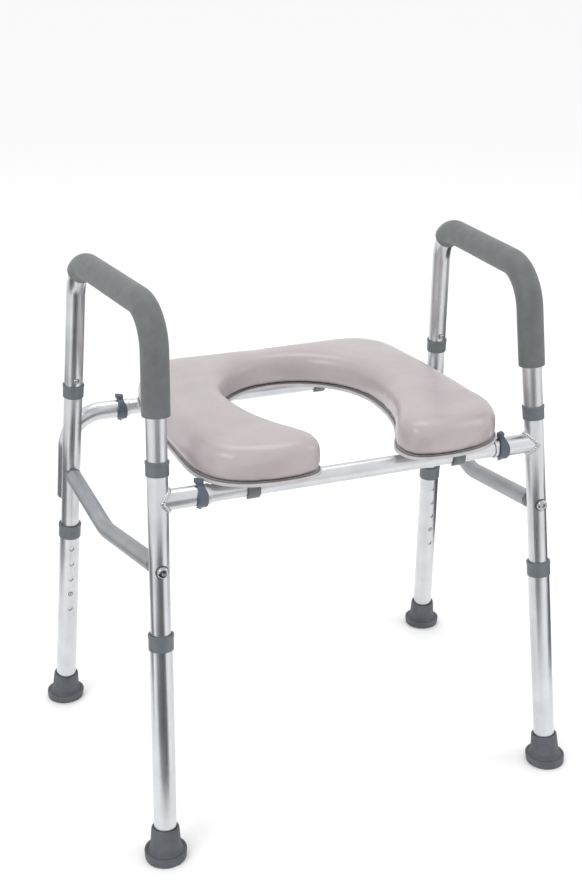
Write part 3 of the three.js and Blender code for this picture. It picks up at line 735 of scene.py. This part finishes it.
def addArm(side):
    # one tube bent twice, and a foam sleeve that ends halfway round the rear bend
    front, rear = posts[side, "front"], posts[side, "rear"]
    c = armSet
    corners = [front["at"](c["start"]), front["at"](c["top"]), rear["at"](c["top"]), rear["at"](c["start"])]
    line = bentLine(corners, c["bend"], front["inward"])
    frontHole = front["along"](postSet["armButton"]) - front["along"](c["start"])
    holes = [
        (0.0, frontHole, postSet["buttonHole"]),
        (0.0, line["s"][-1] - frontHole, postSet["buttonHole"]),
    ]
    tube = drilledTube(line, 0.0, line["s"][-1], tubeSet["tube"], tubeSet["tubeBore"], holes)
    node = f"{side}_arm_tube"
    settle(meshPiece(node + "_bent", tube), "drawn", "tube_aluminium", node, node)

    bends = line["s"][1:-1]
    count = len(bends) // 2
    gripStart = front["along"](c["gripEnd"]) - front["along"](c["start"])
    gripFinish = bends[count] + c["rearShare"] * (bends[-1] - bends[count])
    soft = c["gripSoft"]
    profile = softCorners([
        (gripStart, c["gripBore"]), (gripStart, c["grip"]), (gripFinish, c["grip"]),
        (gripFinish, c["gripBore"])], soft)
    stations = [s for s in line["s"] if gripStart + 2 * soft < s < gripFinish - 2 * soft]
    rows = []
    for first, second in zip(profile, np.roll(profile, -1, 0)):
        rows.append(first[None])
        passed = [s for s in stations if min(first[0], second[0]) < s < max(first[0], second[0])]
        passed = passed if second[0] > first[0] else passed[::-1]
        if passed:
            rows.append(np.stack([passed, np.full(len(passed), first[1])], 1))
    grip = meshPiece(f"{side}_arm_grip_foam", [turnedGrid(line, np.concatenate(rows), True)])
    settle(grip, "grip", "grip_vinyl", f"{side}_arm_grip", f"{side}_arm_grip")


for side in sides:
    addArm(side)
print("raised seat: arms")

stubSet = {
    "end": 195 * mm, "lock": 207 * mm, "lockHole": 2.9 * mm, "lockPitch": 10 * mm, "lockCount": 3,
    "railEnd": 232 * mm, "bead": 2.1 * mm, "ripples": 30, "rearBend": 50 * mm, "rearFoot": 337 * mm,
    "offset": 25.8 * mm,
}


def meetPost(post, points, direction, radius):
    # how far each point slides along a direction before it is a radius away from the post's axis
    gapToAxis = points - post["floor"]
    gapToAxis = gapToAxis - (gapToAxis @ post["up"])[..., None] * post["up"]
    run = direction - (direction @ post["up"]) * post["up"]
    a, b = run @ run, gapToAxis @ run
    c = np.sum(gapToAxis ** 2, -1) - radius ** 2
    return (-b - np.sqrt(np.maximum(b ** 2 - a * c, 0))) / a


def addFrontStub(side):
    # the stub is cut to the post's curve and welded all round
    s, post = sides[side], posts[side, "front"]
    out = s * xAxis
    start = frontRail * [0, 1, 1]
    line = straightLine(start, start + 0.4 * out, -yAxis)
    postAt = abs(post["at"](frontRail[2])[0])
    end = postAt - 4 * mm

    def mitre(points):
        reach = meetPost(post, points * [0, 1, 1], out, tubeSet["tube"] + tubeSet["gap"])
        distance = np.minimum(points @ out, reach)
        return points * [0, 1, 1] + distance[..., None] * out

    hole = [(angle, stubSet["lock"], stubSet["lockHole"]) for angle in (np.pi / 2, 3 * np.pi / 2)]
    grids = drilledTube(
        line, stubSet["end"], end + 6 * mm, tubeSet["tube"], tubeSet["tubeBore"], hole, mitre=mitre)
    node = f"{side}_front_stub"
    settle(meshPiece(node + "_tube", grids), "drawn", "tube_aluminium", node, node)

    # the bead follows the curve where two slightly fatter tubes meet, and its height ripples as it goes round
    angle = np.linspace(0, 2 * np.pi, 360, endpoint=False)
    radius = tubeSet["tube"] + 0.5 * mm
    ring = start + radius * (np.cos(angle)[:, None] * yAxis + np.sin(angle)[:, None] * zAxis)
    ring = ring + meetPost(post, ring, out, radius + 0.2 * mm)[:, None] * out
    tangent = unit(np.roll(ring, -1, 0) - np.roll(ring, 1, 0))
    fromStub = unit((ring - start) * [0, 1, 1])
    fromPost = ring - post["floor"]
    fromPost = unit(fromPost - (fromPost @ post["up"])[:, None] * post["up"])
    outward = fromStub + fromPost
    outward = unit(outward - np.sum(outward * tangent, 1, keepdims=True) * tangent)
    beside = np.cross(tangent, outward)
    round_ = np.linspace(0, 2 * np.pi, 20, endpoint=False)
    ripple = np.abs(np.sin(angle[:, None] * stubSet["ripples"] / 2 + 0.7 * np.cos(round_)[None]))
    thickness = stubSet["bead"] * (0.86 + 0.26 * ripple)
    points = (ring[:, None] + (thickness * np.cos(round_))[..., None] * outward[:, None]
              + (1.25 * thickness * np.sin(round_))[..., None] * beside[:, None])
    bead = meshPiece(node + "_weld", [{"points": points, "closeRows": True}], sharp=60)
    settle(bead, "weld", "tube_aluminium", node)


def addRearStub(side):
    # runs out past the post, turns down behind it and is bolted to its back
    s, post, c = sides[side], posts[side, "rear"], stubSet
    z = rearRail[2]
    behind = lambda height: post["at"](height - post["back"][2] * c["offset"]) + post["back"] * c["offset"]
    corners = [rearRail * [0, 1, 1] + s * c["end"] * xAxis, behind(z), behind(c["rearFoot"])]
    line = bentLine(corners, c["rearBend"], -yAxis)
    length = line["s"][-1]
    along = unit(corners[2] - corners[1])
    boltPoint = post["at"](postSet["bolt"]) + post["back"] * c["offset"]
    bolt = length - (corners[2] - boltPoint) @ along
    holes = [(angle, c["lock"] - c["end"], c["lockHole"]) for angle in (np.pi / 2, 3 * np.pi / 2)]
    holes += [(0.0, bolt, postSet["boltHole"]), (np.pi, bolt, postSet["boltHole"])]
    node = f"{side}_rear_stub"
    grids = drilledTube(line, 0.0, length, tubeSet["tube"], tubeSet["tubeBore"], holes)
    settle(meshPiece(node + "_tube", grids), "drawn", "tube_aluminium", node, node)

    cap = straightLine(corners[2], corners[2] + along, yAxis)
    inside = tubeSet["tubeBore"] - 0.4 * mm
    profile = np.concatenate([
        softCorners([(-10 * mm, 0.0), (-10 * mm, inside), (0.3 * mm, inside), (0.3 * mm, tubeSet["tube"])],
                    0.5 * mm, closed=False),
        np.stack([0.3 * mm + 6 * mm * np.sin(np.linspace(0.1, np.pi / 2, 9)),
                  tubeSet["tube"] * np.cos(np.linspace(0.1, np.pi / 2, 9))], 1)])
    profile[-1, 1] = 0
    plug = meshPiece(node + "_end_plug", [turnedGrid(cap, profile, False)])
    settle(plug, "collar", "collar_plastic", node + "_plug", node + "_plug")


def addRail(name, middle):
    c = stubSet
    start = middle * [0, 1, 1] - c["railEnd"] * xAxis
    line = straightLine(start, start + 2 * c["railEnd"] * xAxis, -yAxis)
    places = [
        c["railEnd"] + s * (c["lock"] + i * c["lockPitch"]) for s in (-1, 1) for i in range(c["lockCount"])]
    holes = [(angle, place, c["lockHole"]) for place in places for angle in (np.pi / 2, 3 * np.pi / 2)]
    grids = drilledTube(line, 0.0, 2 * c["railEnd"], tubeSet["rail"], tubeSet["railBore"], holes)
    settle(meshPiece(name + "_tube", grids), "drawn", "tube_aluminium", name, name)


braceSet = {
    "dipY": 25 * mm, "dipZ": 354 * mm, "bend": 70 * mm, "saddle": 4 * mm, "plug": 18 * mm,
    "saddleBore": 3.4 * mm, "nearPost": 40 * mm, "overrun": 8 * mm,
}


def addBrace(side):
    # the brace dips between the posts, and a moulded saddle sits between each end of it and the post
    c = braceSet
    offset = tubeSet["tube"] + tubeSet["gap"] + c["saddle"]
    seats = {
        end: posts[side, end]["at"](postSet["bolt"]) + offset * posts[side, end]["inward"] for end in ends}
    share = (c["dipY"] - seats["front"][1]) / (seats["rear"][1] - seats["front"][1])
    dip = np.array([
        seats["front"][0] + share * (seats["rear"][0] - seats["front"][0]), c["dipY"], c["dipZ"]])
    line = bentLine([seats["front"], dip, seats["rear"]], c["bend"], zAxis, 2.0)
    length = line["s"][-1]

    def mitre(points):
        for end in ends:
            post = posts[side, end]
            depth = (points - post["at"](postSet["bolt"])) @ post["inward"] - offset - tubeSet["gap"]
            run = line["along"][0] if end == "front" else -line["along"][-1]
            near = np.linalg.norm(points - seats[end], axis=-1) < c["nearPost"]
            push = np.where(near & (depth < 0), -depth / (run @ post["inward"]), 0)
            points = points + push[..., None] * run
        return points

    grids = drilledTube(
        line, -c["overrun"], length + c["overrun"], tubeSet["rail"], tubeSet["railBore"], mitre=mitre)
    node = f"{side}_brace"
    settle(meshPiece(node + "_tube", grids), "blasted", "brace_aluminium", node, node)

    for end in ends:
        post = posts[side, end]
        intoBrace = unit(dip - seats[end])
        boltAt = post["at"](postSet["bolt"])
        axis = straightLine(boltAt, boltAt + post["inward"], post["up"])
        columns = 72
        angle = np.arange(columns) * 2 * np.pi / columns
        rim, core = tubeSet["rail"] - 0.1 * mm, c["saddleBore"]
        # the back of the saddle hugs the post: its depth is that of the post's own round wall
        wall = tubeSet["tube"] + 0.05 * mm
        hug = lambda r: np.sqrt(wall ** 2 - (r * np.sin(angle)) ** 2)
        rows = [
            (hug(core), core), (hug(rim - 0.8 * mm), rim - 0.8 * mm), (hug(rim) + 0.5 * mm, rim),
            (np.full(columns, offset - 0.6 * mm), rim), (np.full(columns, offset), rim - 0.6 * mm),
            (np.full(columns, offset), core)]
        points = np.stack([placeOn(axis, depth, radius, angle) for depth, radius in rows])
        saddle = meshPiece(f"{side}_{end}_saddle_pad", [{"points": points, "closeRows": True}])
        settle(saddle, "collar", "collar_plastic", f"{side}_{end}_saddle", f"{side}_{end}_saddle")
        inside = straightLine(seats[end] + intoBrace * 1 * mm, seats[end] + intoBrace * c["plug"], post["up"])
        bore = tubeSet["railBore"] - 0.5 * mm
        profile = softCorners([
            (0.0, 0.0), (0.0, bore), (c["plug"] - 1 * mm, bore), (c["plug"] - 1 * mm, 0.0)],
            0.8 * mm, closed=False)
        plug = meshPiece(f"{side}_{end}_saddle_plug", [turnedGrid(inside, profile, False, 36)])
        settle(plug, "collar", "collar_plastic", f"{side}_{end}_saddle")


boltSet = {
    "shank": 3.0 * mm, "head": 7.5 * mm, "headHeight": 4.4 * mm, "flat": 3.9 * mm, "skirt": 0.8 * mm,
    "socket": 2.5 * mm, "depth": 2.4 * mm, "pastSaddle": 14 * mm, "washer": 8.4 * mm, "washerBore": 3.5 * mm,
}


def addBolt(side, end):
    # A button-head bolt: the dome is an arc from the rim to a flat, and the socket's radius follows a
    # hexagon.
    post, c = posts[side, end], boltSet
    out = -post["inward"]
    seat = tubeSet["tube"] + tubeSet["gap"] + (stubSet["offset"] if end == "rear" else 0)
    tip = tubeSet["tube"] + braceSet["saddle"] + c["pastSaddle"]
    middle = post["at"](postSet["bolt"])
    line = straightLine(middle, middle + out, post["up"])
    columns = 96
    angle = np.arange(columns) * 2 * np.pi / columns
    hexagon = c["socket"] / np.cos((angle % (np.pi / 3)) - np.pi / 6)
    even = np.ones(columns)
    turn = np.linspace(0, 1, 9)
    top = c["headHeight"]
    dome = [(seat + c["skirt"] + (top - c["skirt"]) * np.sin(t * np.pi / 2) ** 0.9,
             (c["head"] - (c["head"] - c["flat"]) * (1 - np.cos(t * np.pi / 2))) * even) for t in turn]
    rows = [
        (-tip, 0 * even), (-tip, (c["shank"] - 0.5 * mm) * even), (0.5 * mm - tip, c["shank"] * even),
        (seat, c["shank"] * even), (seat, (c["head"] - 0.3 * mm) * even), (seat + 0.3 * mm, c["head"] * even),
        *dome, (seat + top, hexagon + 0.25 * mm), (seat + top - 0.25 * mm, hexagon),
        (seat + top - c["depth"], hexagon), (seat + top - c["depth"] - 0.4 * mm, 0 * even)]
    points = np.stack([placeOn(line, s, radius, angle) for s, radius in rows])
    node = f"{side}_{end}_bolt"
    bolt = meshPiece(node + "_screw", [{"points": points}])
    settle(bolt, "steel", "bright_steel", node, node)

    # a thin black washer bends round the tube under the head: its black paints the dark ring of shade round
    # the head
    wall = tubeSet["tube"] + 0.05 * mm
    away = stubSet["offset"] if end == "rear" else 0
    rim, core = c["washer"], c["washerBore"]
    lift = lambda r, extra: away + np.sqrt(wall ** 2 - (r * np.sin(angle)) ** 2) + extra
    rows = [
        (lift(core, 0), core), (lift(rim - 0.3 * mm, 0), rim - 0.3 * mm), (lift(rim, 0.3 * mm), rim),
        (lift(rim - 0.3 * mm, 0.9 * mm), rim - 0.3 * mm),
        (np.maximum(lift(6 * mm, 0.6 * mm), seat - 0.1 * mm), 6 * mm), (lift(core, 0.3 * mm), core)]
    points = np.stack([placeOn(line, s, radius, angle) for s, radius in rows])
    washer = meshPiece(node + "_washer", [{"points": points, "closeRows": True}])
    settle(washer, "black", "collar_plastic", node)


for side in sides:
    addFrontStub(side)
    addRearStub(side)
    addBrace(side)
    for end in ends:
        addBolt(side, end)
addRail("front_rail", frontRail)
addRail("rear_rail", rearRail)
print("raised seat: rails, stubs, braces and bolts")

lockSet = {
    "pin": 2.5 * mm, "head": 5.0 * mm, "headHeight": 4.6 * mm, "wall": 2.7 * mm, "from": 0.42, "to": 1.36,
    "topWidth": 8.2 * mm, "footWidth": 13.4 * mm, "tab": 3.6 * mm, "tabTurn": 35, "tabWidth": 0.32,
    "sunk": 1.4 * mm, "pinPast": 6 * mm, "pinPoint": 1.8 * mm,
}


def addLockClip(side, end):
    # The strap is a rounded bar bent to a C round the tube: it starts under the head and widens downwards.
    s, c = sides[side], lockSet
    rail = frontRail if end == "front" else rearRail
    centre = rail * [0, 1, 1] + s * stubSet["lock"] * xAxis
    inner = tubeSet["tube"] + tubeSet["gap"]
    share = np.linspace(0, 1, 60)[:, None]
    turn = np.pi * (c["from"] + share * (c["to"] - c["from"]))
    swell = np.clip((share - 0.25) / 0.3, 0, 1)
    half = (c["topWidth"] + (c["footWidth"] - c["topWidth"]) * swell ** 2 * (3 - 2 * swell)) / 2
    endSoft = np.sqrt(np.clip(1 - (1 - np.minimum(share, 1 - share) / 0.02).clip(0, 1) ** 2, 0.02, 1))
    half = half - (1 - endSoft) * 1.2 * mm
    thick = c["wall"] / 2 * (0.4 + 0.6 * endSoft)
    round_ = np.linspace(0, 2 * np.pi, 32, endpoint=False)[None]
    # the bar's section is a squared-off circle
    power = lambda v: np.sign(v) * np.abs(v) ** 0.35
    across, depth = half * power(np.cos(round_)), thick * power(np.sin(round_))
    radius = inner + c["wall"] / 2 + depth
    points = (centre + across[..., None] * xAxis + (radius * np.cos(turn))[..., None] * yAxis
              + (radius * np.sin(turn))[..., None] * zAxis)
    count = points.shape[1]
    last = (len(points) - 1) * count
    node = f"{side}_{end}_lock_clip"
    strap = meshPiece(node + "_strap", [{"points": points}], [range(count), range(last, last + count)])
    settle(strap, "clip", "clip_plastic", node, node)

    # the moulded head is a low drum with one pointed tab, and the steel pin hangs below it
    top = inner + c["wall"]
    axis = straightLine(centre, centre + zAxis, yAxis)
    columns = 72
    angle = np.arange(columns) * 2 * np.pi / columns
    away = (angle - np.radians(-s * c["tabTurn"]) + np.pi) % (2 * np.pi) - np.pi
    shape = c["head"] + c["tab"] * np.exp(-np.abs(away / c["tabWidth"]) ** 1.4)
    low, high = top - c["sunk"], top + c["headHeight"]
    rows = [
        (low, 0.0 * shape), (low, shape * 0.9), (low + 0.5 * mm, shape), (high - 0.9 * mm, shape),
        (high - 0.35 * mm, shape - 0.25 * mm), (high, shape - 0.9 * mm), (high, shape - 2.2 * mm),
        (high - 0.5 * mm, shape * 0.45), (high - 0.5 * mm, 0.0 * shape)]
    points = np.stack([placeOn(axis, z, radius, angle) for z, radius in rows])
    head = meshPiece(node + "_head", [{"points": points}])
    settle(head, "clip", "clip_plastic", node)
    tip = -tubeSet["tube"] - c["pinPast"]
    turn = np.linspace(0, np.pi / 2, 6)
    point = np.stack([tip + c["pinPoint"] * (1 - np.cos(turn)), c["pin"] * np.sin(turn)], 1)
    profile = np.concatenate([point, [[low + 0.5 * mm, c["pin"]], [low + 0.5 * mm, 0.0]]])
    pin = meshPiece(node + "_pin", [turnedGrid(axis, profile, False, 32)])
    settle(pin, "steel", "bright_steel", node)


snapSet = {
    "wall": 2.9 * mm, "jawFrom": 0.62, "jawTo": 1.36,      # half turns round the rail
    "bevel": 1.2 * mm, "shoulder": 7.5 * mm, "edge": 0.6 * mm,
}


def addSnapClip(side, end):
    # a block under the board whose jaw springs round the front of the rail
    node = f"{side}_{end}_snap_clip"
    low, high = (np.array(corner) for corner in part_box(node))
    rail = frontRail if end == "front" else rearRail
    c = snapSet
    inner = tubeSet["rail"] + tubeSet["gap"]
    outer = inner + c["wall"]
    top = high[2] - rail[2]
    jaw = np.linspace(np.pi * c["jawFrom"], np.pi * c["jawTo"], 30)
    bore = np.linspace(np.pi * c["jawTo"], 0.02, 40)
    tip = c["jawTo"] * np.pi
    middle = (inner + outer) / 2
    lipTurn = np.linspace(0, np.pi, 7)[1:-1]
    outward = np.stack([np.cos(tip), np.sin(tip)])
    onward = np.stack([-np.sin(tip), np.cos(tip)])
    lip = (middle * outward + (c["wall"] / 2) * (np.cos(lipTurn)[:, None] * outward
                                                + np.sin(lipTurn)[:, None] * onward))
    corners = softCorners(
        [(inner, 0.2 * mm), (inner, top), (-inner, top), (-inner - 0.3 * mm, c["shoulder"])],
        c["bevel"], closed=False)
    outline = np.concatenate([
        corners, outer * np.stack([np.cos(jaw), np.sin(jaw)], 1), lip,
        inner * np.stack([np.cos(bore), np.sin(bore)], 1)])
    origin = np.array([low[0], rail[1], rail[2]])
    piece = prismPiece(node + "_jaw", outline, origin, yAxis, zAxis, xAxis, high[0] - low[0], c["edge"])
    settle(piece, "collar", "collar_plastic", node, node)


for side in sides:
    for end in ends:
        addLockClip(side, end)
        addSnapClip(side, end)
print("raised seat: clips")

outlineSet = {
    "hole": 104, "holeMiddle": 15, "holeDepth": 111, "slot": 53, "slotBack": -160, "front": -205, "lobe": 110,
    "side": 211, "rear": 193, "rearFlat": 118, "spacing": 3.0,
}


def seatOutline():
    # One half runs from the side of the opening, down the slot, round the lobe and up the outside, as cubic
    # runs; the other is its mirror image, and half an ellipse closes the opening. Spaced evenly, in metres.
    o = outlineSet
    half = np.array([
        (o["hole"], o["holeMiddle"]), (o["hole"], -95), (o["slot"] + 5, -128), (o["slot"], o["slotBack"]),
        (o["slot"], -192), (o["slot"] + 9, o["front"]), (o["lobe"], o["front"]),
        (182, o["front"]), (o["side"], -170), (o["side"], -112),
        (o["side"], -35), (o["side"] - 3, 45), (o["side"] - 8, 100),
        (o["side"] - 12, 165), (176, o["rear"]), (o["rearFlat"], o["rear"])], float)
    t = np.linspace(0, 1, 40)[:, None]
    runs = [(1 - t) ** 3 * half[i] + 3 * t * (1 - t) ** 2 * half[i + 1] + 3 * t ** 2 * (1 - t) * half[i + 2]
            + t ** 3 * half[i + 3] for i in range(0, len(half) - 1, 3)]
    right = np.concatenate(runs)
    turn = np.linspace(np.pi, 0, 90)[:, None]
    hole = np.concatenate([o["hole"] * np.cos(turn), o["holeMiddle"] + o["holeDepth"] * np.sin(turn)], 1)
    outline = np.concatenate([right, right[::-1] * [-1, 1], hole])
    return anticlockwise(evenly(outline, o["spacing"]) * mm)


def evenly(outline, spacing):
    ring = np.concatenate([outline, outline[:1]])
    step = np.linalg.norm(np.diff(ring, axis=0), axis=1)
    keep = np.concatenate([step > 1e-9, [True]])
    ring = ring[keep]
    length = np.concatenate([[0], np.cumsum(np.linalg.norm(np.diff(ring, axis=0), axis=1))])
    s = np.linspace(0, length[-1], int(length[-1] / spacing), endpoint=False)
    return np.stack([np.interp(s, length, ring[:, k]) for k in (0, 1)], 1)


def easedInset(outline, amount):
    # insets in small steps and evens the curve out after each, so that tight corners don't cross themselves
    steps = max(1, int(np.ceil(amount / (1.5 * mm))))
    for _ in range(steps):
        outline = insetOutline(outline, amount / steps)
        outline = 0.5 * outline + 0.25 * (np.roll(outline, 1, 0) + np.roll(outline, -1, 0))
    return outline


outline = seatOutline()
boardLow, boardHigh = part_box("seat_board")
board = prismPiece(
    "seat_board_plate", insetOutline(outline, 1.5 * mm), (0, 0, boardLow.z), xAxis, yAxis, zAxis,
    boardHigh.z - boardLow.z, 1.0 * mm)
settle(board, "board", "board_plastic", "seat_board", "seat_board")

cushionSet = {
    "slack": 3.0 * mm,               # how much smaller the foam starts before it swells
    "edge": 3.0 * mm, "edgeHeight": 7.0 * mm, "crownWidth": 19 * mm, "crownHeight": 17 * mm,
    "voxel": 5.0 * mm, "pressure": 4.0, "cap": 5.0 * mm, "smooth": 9,
    "rise": 0.35,                    # share of the upward swell that is kept, so that the top stays level
    "held": 2.5 * mm,                # how high above the board the foam is held while it swells
    "drop": 2.0 * mm,                # how far the top starts below its final height
    "quality": 6, "frames": 20,
}


def applied(piece):
    # the piece's mesh as its modifiers leave it, with none left on it
    bpy.context.view_layer.update()
    shape = bpy.data.meshes.new_from_object(piece.evaluated_get(bpy.context.evaluated_depsgraph_get()))
    piece.modifiers.clear()
    piece.data = shape
    return piece


def pointsOf(piece):
    # the mesh's points as an array of (x, y, z) rows
    place = np.zeros(len(piece.data.vertices) * 3, np.float32)
    piece.data.vertices.foreach_get("co", place)
    return place.reshape(-1, 3).astype(float)


def addCushion():
    # A stack of the seat's outline: tucked in at the bottom, upright at the waist and rounded over to the
    # top. It is then swelled as cloth under pressure, held by its flat base, and smoothed.
    c = cushionSet
    low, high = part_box("seat_cushion")
    floorZ, topZ = low.z, high.z - c["drop"]
    turn = np.linspace(0, np.pi / 2, 7)
    edge = [(c["edge"] * (1 - np.sin(a)), floorZ + c["edgeHeight"] * (1 - np.cos(a))) for a in turn]
    crown = [(c["crownWidth"] * (1 - np.cos(a)), topZ - c["crownHeight"] * (1 - np.sin(a)))
             for a in np.linspace(0, np.pi / 2, 12)]
    rings = [easedInset(outline, c["slack"] + inset) for inset, _ in edge + crown]
    grid = np.stack([
        np.concatenate([ring, np.full((len(ring), 1), z)], 1) for ring, (_, z) in zip(rings, edge + crown)])
    count = len(outline)
    last = (len(rings) - 1) * count
    cushion = meshPiece("seat_cushion_foam", [{"points": grid}], [range(count), range(last, last + count)])
    remesh = cushion.modifiers.new("remesh", "REMESH")
    remesh.mode, remesh.voxel_size = "VOXEL", c["voxel"]
    applied(cushion)
    before = pointsOf(cushion)
    base = cushion.vertex_groups.new(name="base")
    held = np.nonzero(before[:, 2] < floorZ + c["held"])[0]
    base.add(held.tolist(), 1.0, "REPLACE")
    cloth = cushion.modifiers.new("cloth", "CLOTH")
    cloth.settings.use_pressure = True
    cloth.settings.uniform_pressure_force = c["pressure"]
    cloth.settings.effector_weights.gravity = 0
    cloth.settings.vertex_group_mass = "base"
    cloth.settings.quality = c["quality"]
    cloth.point_cache.frame_start, cloth.point_cache.frame_end = 1, c["frames"]
    for frameNumber in range(1, c["frames"] + 1):
        bpy.context.scene.frame_set(frameNumber)
    applied(cushion)
    bpy.context.scene.frame_set(1)
    after = pointsOf(cushion)
    move = after - before
    distance = np.linalg.norm(move, axis=1, keepdims=True)
    # an even swell up to the cap: what moved further than the cap is eased back to it
    eased = c["cap"] * np.tanh(distance / c["cap"]) / np.maximum(distance, 1e-9)
    after = before + move * eased * [1, 1, c["rise"]]
    after[:, 2] = np.maximum(after[:, 2], floorZ)
    cushion.data.vertices.foreach_set("co", after.astype(np.float32).ravel())
    smooth = cushion.modifiers.new("smooth", "SMOOTH")
    smooth.factor, smooth.iterations = 0.5, c["smooth"]
    subdivide = cushion.modifiers.new("subdivide", "SUBSURF")
    subdivide.levels = subdivide.render_levels = 1
    applied(cushion)
    place = pointsOf(cushion)
    place[:, 2] = np.maximum(place[:, 2], floorZ)
    cushion.data.vertices.foreach_set("co", place.astype(np.float32).ravel())
    cushion.data.polygons.foreach_set("use_smooth", np.ones(len(cushion.data.polygons), bool))
    settle(cushion, "seat", "seat_skin", "seat_cushion", "seat_cushion")


addCushion()

seamSet = {"inset": 3.8 * mm, "radius": 0.5 * mm, "columns": 10}


def addSeam():
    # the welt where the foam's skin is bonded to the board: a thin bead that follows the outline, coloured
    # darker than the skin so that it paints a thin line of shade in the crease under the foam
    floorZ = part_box("seat_cushion")[0].z
    path = easedInset(outline, seamSet["inset"])
    edge = unit(np.roll(path, -1, 0) - np.roll(path, 1, 0))
    outward = np.stack([edge[:, 1], -edge[:, 0]], 1)
    round_ = np.linspace(0, 2 * np.pi, seamSet["columns"], endpoint=False)
    radius = seamSet["radius"]
    flat = path[:, None] + radius * np.cos(round_)[None, :, None] * outward[:, None]
    height = np.broadcast_to(floorZ + radius + radius * np.sin(round_)[None], flat.shape[:2])
    grid = np.concatenate([flat, height[..., None]], -1)
    seam = meshPiece("seat_cushion_welt", [{"points": grid, "closeRows": True}])
    # the collars' darker grey rather than the skin's colour: painted shade along the crease under the foam
    settle(seam, "collar", "seat_skin", "seat_cushion")


addSeam()
print("raised seat: seat")
